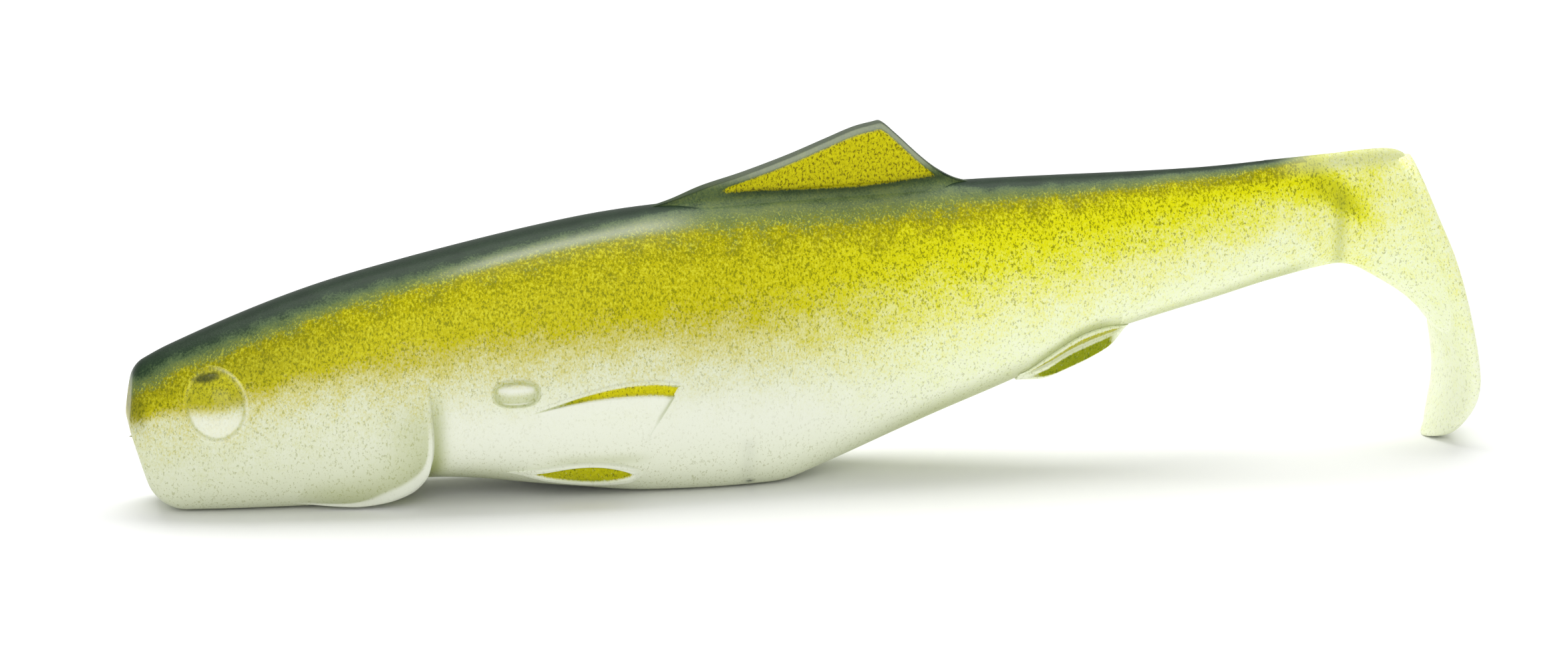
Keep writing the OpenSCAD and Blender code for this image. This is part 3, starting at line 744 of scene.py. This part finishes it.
def detail(name, side, x, z, lift, marks, material, nodes, slot, wrap=False):
    """A closed moulded detail: its outer face follows lift, its back lies 0.9 deep in the skin,
    and a rim joins the two. wrap is for rings round a centre, which a fan closes."""
    outer, n = lifted(side, x, z, lift)
    inner, _ = lifted(side, x, z, np.full_like(x, -0.9))
    face = grid_normals(outer, wrap)
    face *= np.sign((face * n).sum())
    blunt = np.abs((face * n).sum(-1, keepdims=True)) < 1e-6
    face = np.where(blunt, n, face)
    if wrap:
        face[0] = n[0]
    size = outer.shape[0] * outer.shape[1]
    number = np.arange(size).reshape(outer.shape[:2])
    points = np.concatenate((outer.reshape(-1, 3), inner.reshape(-1, 3)))
    face, n = face.reshape(-1, 3), n.reshape(-1, 3)
    front = quads(*outer.shape[:2], wrap=wrap)
    a, b, c, d = (points[front[:, i]] for i in range(4))
    if (np.cross(c - a, d - b) * n[front[:, 0]]).sum() < 0:
        front = front[:, ::-1]
    if wrap:
        border = number[-1]
    else:
        border = np.concatenate(
            (number[0, :-1], number[:-1, -1], number[-1, :0:-1], number[:0:-1, 0])
        )
    ahead = np.roll(border, -1)
    rim = np.stack((border, ahead, ahead + size, border + size), -1)
    a, b, d = (points[rim[:, i]] for i in (0, 1, 3))
    if (np.cross(b - a, d - a) * (a - points[border].mean(0))).sum() < 0:
        rim = rim[:, ::-1]
    a, b, d = (points[rim[:, i]] for i in (0, 1, 3))
    rim_way = np.cross(b - a, d - a)
    rim_way /= np.maximum(np.linalg.norm(rim_way, axis=-1, keepdims=True), 1e-9)
    normals = np.concatenate((face, -n))
    caps = [(front[:, ::-1] + size, -n.mean(0)), (rim, np.repeat(rim_way, 4, 0))]
    if wrap:
        points = np.concatenate((points, [outer[0].mean(0)], [inner[0].mean(0)]))
        normals = np.concatenate((normals, [n[0], -n[0]]))
        caps.append(outward_fan(points, number[0], size * 2, n[0]))
        caps.append(outward_fan(points, number[0] + size, size * 2 + 1, -n[0]))
    shares = paint(len(points), *marks)
    if wrap:
        shares[size * 2] = shares[0]
    obj = make(name + "_skin", points, front, normals, caps, shares)
    obj.data.materials.append(material)
    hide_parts(*nodes)
    return obj


def gill_cover(side, name):
    """A sheet from a line on the cheek (u = 0) to the cover's edge (u = 1). Its height is
    0.42 s^1.6, where s steps up smoothly with u, with a bead of 0.26 beside the edge, and it
    turns down into the fold over the last 0.5 as sqrt(k (2 - k))."""
    u = np.concatenate((np.linspace(0, 0.8, 26), np.linspace(0.8, 1, 40)[1:]))[:, None]
    v = np.linspace(0, 1, 110)[None, :]
    edge_x, edge_z = curve(GILL_EDGE_X, v), curve(GILL_EDGE_Z, v)
    x = (-48 + 5.5 * v) * (1 - u) + edge_x * u
    z = (0.9 + 12.6 * v) * (1 - u) + edge_z * u
    ends = smooth(0, 0.3, v) * smooth(1, 0.72, v)
    reach = np.hypot(x - edge_x, z - edge_z)
    bead = 0.55 + 1.0 * bump(v, 0.46, 0.13)
    crest = 0.26 * bump(reach, bead * 0.55, bead * 0.36) * (0.35 + 0.65 * smooth(0.85, 0.6, v))
    near = np.clip(reach / 0.5, 0, 1)
    turn = np.sqrt(near * (2 - near))
    lift = ends * ((0.42 * smooth(0.1, 1, u) ** 1.6 + crest + 0.3) * turn - 0.3) - 0.06 * (1 - ends)
    lift = lift - 0.05 * smooth(0.2, 0, u)
    clear = smooth(bead * 1.35, bead * 0.95, reach) * smooth(0.0, 0.2, v) * smooth(0.84, 0.62, v)
    shade = 0.3 * smooth(6.5, 1.0, reach) * smooth(12, 7, z) * ends * smooth(0, 0.6, u)
    olive = (0.2 * smooth(10, 2, z) + shade) * (1 - clear)
    marks = (0.0, olive, 0.8 * clear, 0.0)
    return detail(name, side, x, z, lift, marks, head_material, (name,), "head_skin")


head_material = plastisol("head_plastisol", 0.36, 0.1, 0.5)
for side, name in ((LEFT, "gill_cover_left"), (RIGHT, "gill_cover_right")):
    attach(gill_cover(side, name), "trunk")

# ---- Eyes -------------------------------------------------------------------------------
# A moulded dome in a ring groove. The spray from above leaves its upper half yellow with a
# dark fleck at the brow, partly dark paint and partly painted shade, and its lower half is
# bare, glossy vinyl painted pale as a reflection, with painted shade in the groove below.
EYE_X, EYE_Z, EYE_HALF_X, EYE_HALF_Z = -52.8, 10.0, 2.65, 3.1
PUPIL_X, PUPIL_Z, BROW_Z = -53.4, 10.4, 12.3


def eye(side, name):
    """Rings of an ellipse: height 0.62 (1 - (r / 0.86)^2.4) as a dome, a low ring at r = 0.99
    that is lower over the brow, and a faint ring round the pupil."""
    r = np.linspace(0.01, 1.12, 68)[:, None]
    t = np.linspace(0, 2 * math.pi, 120, endpoint=False)[None, :]
    x, z = EYE_X + EYE_HALF_X * r * np.cos(t), EYE_Z + EYE_HALF_Z * r * np.sin(t)
    dome = 0.62 * np.maximum(1 - (r / 0.86) ** 2.4, 0)
    lift = dome + 0.02 + 0.1 * bump(r, 0.99, 0.05) * (0.35 + 0.65 * smooth(12, 9.5, z))
    lift = lift + 0.04 * bump(np.hypot(x - PUPIL_X, z - PUPIL_Z), 0.6, 0.16)
    lift = lift - 0.1 * smooth(1.03, 1.12, r)
    ahead = x - PUPIL_X
    # The brow fleck: partly dark paint, partly painted shade in the groove
    brow = smooth(1, 0.4, np.hypot(ahead / 1.5, (z - BROW_Z - 0.2 * ahead) / 0.55))
    upper = smooth(-0.7, 0.7, z - EYE_Z) * smooth(0.98, 0.84, r) * smooth(13.4, 12, z)
    # Painted reflection: the lower half of the dome is painted pale
    bare = smooth(0.4, -0.8, z - EYE_Z + 0.5) * smooth(0.92, 0.8, r)
    # Painted shade in the groove, strongest low down
    ring = 0.3 * bump(r, 0.89, 0.05) * smooth(12, 9, z)
    rim = 0.25 * bump(r, 0.99, 0.05) * smooth(-53.5, -51.5, x)
    # The little olive and dark over the yellow upper half are painted shade
    dark = 0.8 * brow + 0.1 * upper * (1 - brow)
    marks = (0.42 * upper, ring + 0.12 * upper, np.clip(0.7 * bare + rim, 0, 1), dark)
    return detail(name, side, x, z, lift, marks, eye_material, (name,), "eye_paint", wrap=True)


eye_material = plastisol("eye_plastisol", 0.24, 0.3, 0.3)
for side, name in ((LEFT, "eye_left"), (RIGHT, "eye_right")):
    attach(eye(side, name), "trunk")

# ---- Side bosses ------------------------------------------------------------------------
# A small pill-shaped button on each flank, moulded in one with the body's vinyl: a clear dome
# inside a raised, clear ring.
BOSS_X, BOSS_Z, BOSS_HALF_X, BOSS_HALF_Z, BOSS_SQUARE = -27.3, 10.4, 2.12, 1.25, 2.6


def boss(side, name):
    """Rings of the squared ellipse |cos t|^p + |sin t|^p: a dome 0.75 (1 - (r / 0.78)^2.2), then
    a ring of 0.2 at r = 0.9."""
    r = np.linspace(0.01, 1.05, 50)[:, None]
    t = np.linspace(0, 2 * math.pi, 96, endpoint=False)[None, :]
    square = np.abs(np.cos(t)) ** BOSS_SQUARE + np.abs(np.sin(t)) ** BOSS_SQUARE
    square = square ** (-1 / BOSS_SQUARE)
    x = BOSS_X + BOSS_HALF_X * r * square * np.cos(t)
    z = BOSS_Z + BOSS_HALF_Z * r * square * np.sin(t)
    lift = 0.02 + 0.75 * np.maximum(1 - (r / 0.78) ** 2.2, 0) + 0.2 * bump(r, 0.9, 0.08)
    lift = lift - 0.1 * smooth(0.98, 1.05, r) + 0 * t
    inside = smooth(0.8, 0.7, r)
    # Painted highlights on the top of the dome and in a line along its bottom, and painted shade
    # over its lower half; the olive on the ring is the ring's own tint
    pale = inside * (0.9 * bump(z, 10.85, 0.3) + 0.8 * smooth(9.75, 9.55, z))
    olive = 0.4 * bump(r, 0.86, 0.12) + 0.32 * smooth(10.8, 10.2, z) * inside
    marks = (0.0, olive * (1 - pale), np.clip(pale, 0, 1), 0.0)
    return detail(name, side, x, z, lift, marks, skin_material, (name,), "body_skin", wrap=True)


for side, name in ((LEFT, "side_boss_left"), (RIGHT, "side_boss_right")):
    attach(boss(side, name), "trunk")

# ---- Pectoral fins ----------------------------------------------------------------------
# A folded-back fin moulded on each flank: a low bulge with a crest, and a yellow-painted
# groove above the crest that widens to the rear.
PECTORAL_START, PECTORAL_LENGTH, PECTORAL_LOW, PECTORAL_ABOVE = -26.4, 13.7, 4.9, 0.45
PECTORAL_TOP = (
    (-27, 8.3), (-25.9, 8.6), (-21.3, 10.0), (-18, 10.65), (-15, 10.75), (-12.6, 10.3),
    (-11, 9.9),
)
PECTORAL_CREST = (
    (-27, 8.2), (-25.9, 8.5), (-21.3, 9.5), (-18, 9.75), (-15, 9.7), (-13.3, 9.5), (-11, 9.2),
)


def pectoral_fin(side, name):
    """A sheet from above the groove (v = 0) to the flank below (v = 1): a lip of 0.14, a groove,
    a crest 0.46 high, then a slope down to the skin. Its rear end leans forward as it drops."""
    u = np.linspace(0, 1, 120)[:, None]
    v = np.concatenate((np.linspace(0, 0.45, 40), np.linspace(0.45, 1, 26)[1:]))[None, :]
    x = PECTORAL_START + PECTORAL_LENGTH * u + 0 * v
    top, crest = curve(PECTORAL_TOP, x), curve(PECTORAL_CREST, x)
    z = top + PECTORAL_ABOVE - (top + PECTORAL_ABOVE - PECTORAL_LOW) * v**1.25
    x = x - 0.62 * smooth(0.75, 1, u) * np.maximum(top - z, 0)
    down = (top - z) / np.maximum(top - crest, 0.12)
    ends = smooth(0, 0.12, u) * smooth(1.0, 0.95, u)
    groove = smooth(-0.1, 0.3, down) * smooth(1.15, 0.75, down)
    wide = smooth(0.02, 0.5, u)
    lip = 0.14 * bump(top + 0.12 - z, 0, 0.16)
    crest_up = smooth(0.75, 1.15, down) * smooth(4.6, 0.2, crest - z) * smooth(1.0, 0.93, u)
    lift = 0.02 + ends * wide * (0.46 * crest_up + lip)
    border = np.minimum(np.minimum(u, 1 - u) * 20, np.minimum(v * 12, (1 - v) * 10))
    lift = lift - 0.1 * smooth(1, 0, border)
    yellow = groove * smooth(0.1, 0.35, u) * smooth(0.99, 0.96, u)
    hook = smooth(0.9, 0.945, u) * smooth(0.995, 0.975, u) * smooth(3.6, 2.6, top - z)
    hook = 0.85 * hook * (1 - groove) * (down > 0)
    edge = 0.55 * groove * smooth(0.02, 0.15, u) * smooth(0.5, 0.2, u)
    pale = np.maximum(0.85 * crest_up * ends, bare_and_highlit_flank(x, z)) * (1 - groove)
    marks = (yellow, np.clip(edge + hook, 0, 1), pale, 0.0)
    return detail(name, side, x, z, lift, marks, fin_material, (name,), "fin_skin")


for side, name in ((LEFT, "pectoral_fin_left"), (RIGHT, "pectoral_fin_right")):
    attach(pectoral_fin(side, name), "trunk")

# ---- Pelvic fins ------------------------------------------------------------------------
# An almond low on each flank, pointed in front and round behind: a sunk yellow-green panel
# inside a raised clear rim.
PELVIC_START, PELVIC_LENGTH, PELVIC_DEPTH, PELVIC_WIDEST = -27.9, 11.7, 1.15, 0.62


def pelvic_fin(side, name):
    """An almond of half depth 1.15, sin^1.3 in front of its widest place and an ellipse behind
    it: a rim 0.4 high, less 0.22 inside an oval panel."""
    u = np.linspace(0, 1, 100)[:, None]
    v = np.linspace(-1, 1, 56)[None, :]
    x = PELVIC_START + PELVIC_LENGTH * u + 0 * v
    front = np.sin(np.clip(u / PELVIC_WIDEST, 0, 1) * math.pi / 2) ** 1.3
    rear = np.sqrt(np.maximum(1 - (np.maximum(u - PELVIC_WIDEST, 0) / 0.385) ** 2, 0))
    half = 0.05 + PELVIC_DEPTH * front * rear * np.ones_like(v)
    z = 2.68 + 0.5 * (0.45 - u) + half * v
    full = smooth(0, 0.3, u) * smooth(1, 0.9, u)
    reach = np.where(u < PELVIC_WIDEST, 0.46, 0.33)
    panel = smooth(1.0, 0.82, np.hypot((u - PELVIC_WIDEST) / reach, (v - 0.1) / 0.68))
    outer = np.abs(v)
    rim = np.sqrt(np.maximum(1 - outer**5, 0))
    lift = 0.02 + full * (0.4 * rim - 0.22 * panel) - 0.1 * smooth(0.9, 1, outer)
    line = bump(v, 0.72, 0.08) + bump(v, -0.5, 0.1)
    # Painted olive shade round the border of the raised rim; the olive lines and panel are paint
    olive = (0.3 * smooth(0.8, 1, outer) + 0.3 * line + 0.3 * panel) * full
    marks = (0.8 * panel, olive, 0.5 * full * (1 - panel), 0.0)
    return detail(name, side, x, z, lift, marks, fin_material, (name,), "fin_skin")


for side, name in ((LEFT, "pelvic_fin_left"), (RIGHT, "pelvic_fin_right")):
    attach(pelvic_fin(side, name), "trunk")

# ---- Anal fin ---------------------------------------------------------------------------
# A short keel under the rear body, with a ridge along each flank and an olive-green panel
# between the ridge and the keel.
ANAL_START, ANAL_END = 18.0, 28.2
ANAL_KEEL = (
    (17.5, 7.8), (18.6, 7.75), (20.5, 7.85), (22.5, 8.5), (24.5, 9.3), (26.5, 10.4),
    (27.8, 11.6), (28.5, 12.2),
)


def anal_points():
    """Sections from the left ridge by the keel to the right ridge: a ridge at v = 0.08,
    a steep side that carries the panel, and a bead at v = 0.75 over the rounded keel."""
    x = np.linspace(ANAL_START, ANAL_END, 110)[:, None]
    t = np.linspace(-1, 1, 91)[None, :]
    v = 1 - np.abs(t)
    ridge, keel = curve(ANAL_RIDGE, x), curve(ANAL_KEEL, x)
    z = ridge + (keel - ridge) * np.sin(v * math.pi / 2)
    span = smooth(ANAL_START, 19.8, x) * smooth(ANAL_END, 26.8, x)
    side = flank(x, ridge) + 0.1
    y = side * (1 - 0.2 * smooth(0.1, 0.25, v) - 0.16 * smooth(0.25, 0.85, v))
    y = y + span * (0.22 * bump(v, 0.08, 0.06) + 0.16 * bump(v, 0.75, 0.1))
    y = y * np.maximum(1 - smooth(0.7, 1.0, v) ** 2.5, 0) ** 0.5
    y = np.where(v < 0.02, y - 0.4, y)
    return np.stack((x + 0 * t, np.sign(t) * y, z), -1), v, span


anal_grid, v, span = anal_points()
x = anal_grid[..., 0]
point = 0.6 * smooth(22.5, 19, x)
green = smooth(0.3, 0.38, v - 0.2 * point) * smooth(0.8, 0.7, v + 0.2 * point)
green = green * smooth(18.8, 20.3, x) * smooth(27.3, 26.2, x)
ridge_line = smooth(0.04, 0.1, v) * smooth(0.26, 0.2, v) * span
olive = 0.7 * green + (0.4 * bump(v, 0.28, 0.05) + 0.35 * ridge_line) * span
points, faces, normals, caps = closed_strip(anal_grid, (23, 0, 13), (0, 0, 1.0))
anal = make(
    "anal_fin_skin", points, faces, normals, caps,
    paint(len(points), yellow=0.75 * green + 0.7 * ridge_line, olive=np.clip(olive, 0, 1)),
)
anal.data.materials.append(fin_material)
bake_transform(anal)
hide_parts("anal_fin")

# ---- Studio: floor, light and camera ------------------------------------------------------
floor_mesh = bpy.data.meshes.new("floor")
floor_mesh.from_pydata([(-3, -3, 0), (3, -3, 0), (3, 3, 0), (-3, 3, 0)], [], [(0, 1, 2, 3)])
floor = bpy.data.objects.new("floor", floor_mesh)
bpy.context.scene.collection.objects.link(floor)
floor.location.z = -0.00002
paper = bpy.data.materials.new("paper")
paper.use_nodes = True
paper.node_tree.nodes["Principled BSDF"].inputs["Base Color"].default_value = (0.93, 0.935, 0.94, 1)
paper.node_tree.nodes["Principled BSDF"].inputs["Roughness"].default_value = 0.9
floor_mesh.materials.append(paper)

world = bpy.data.worlds.new("studio")
bpy.context.scene.world = world
world.use_nodes = True
world.node_tree.nodes["Background"].inputs["Color"].default_value = (1, 1, 1, 1)
world.node_tree.nodes["Background"].inputs["Strength"].default_value = 0.55


def softbox(name, place, target, width, height, power):
    """A rectangular area light that faces a target point, in metres."""
    light = bpy.data.lights.new(name, "AREA")
    light.shape, light.size, light.size_y, light.energy = "RECTANGLE", width, height, power
    lamp = bpy.data.objects.new(name, light)
    bpy.context.scene.collection.objects.link(lamp)
    lamp.location = place
    way = np.array(target) - np.array(place)
    lamp.rotation_euler = (
        math.atan2(math.hypot(way[0], way[1]), -way[2]), 0, math.atan2(-way[0], way[1]),
    )
    return lamp


softbox("top_box", (0.02, 0.14, 0.4), (0, 0, 0), 0.5, 0.3, 1.7)
softbox("front_box", (-0.12, -0.5, 0.3), (0, 0, 0.01), 0.4, 0.3, 0.7)

TURN, RISE, FAR = math.radians(-11), math.radians(15), 0.45
aim = np.array((-0.00248, 0, 0.01317))
camera_data = bpy.data.cameras.new("camera")
camera_data.lens, camera_data.sensor_width, camera_data.clip_start = 117.65, 36.0, 0.01
camera = bpy.data.objects.new("camera", camera_data)
bpy.context.scene.collection.objects.link(camera)
toward = (math.sin(TURN) * math.cos(RISE), -math.cos(TURN) * math.cos(RISE), math.sin(RISE))
camera.location = aim + FAR * np.array(toward)
camera.rotation_euler = (math.pi / 2 - RISE, 0, TURN)
bpy.context.scene.camera = camera
bpy.context.scene.view_settings.view_transform = "Standard"
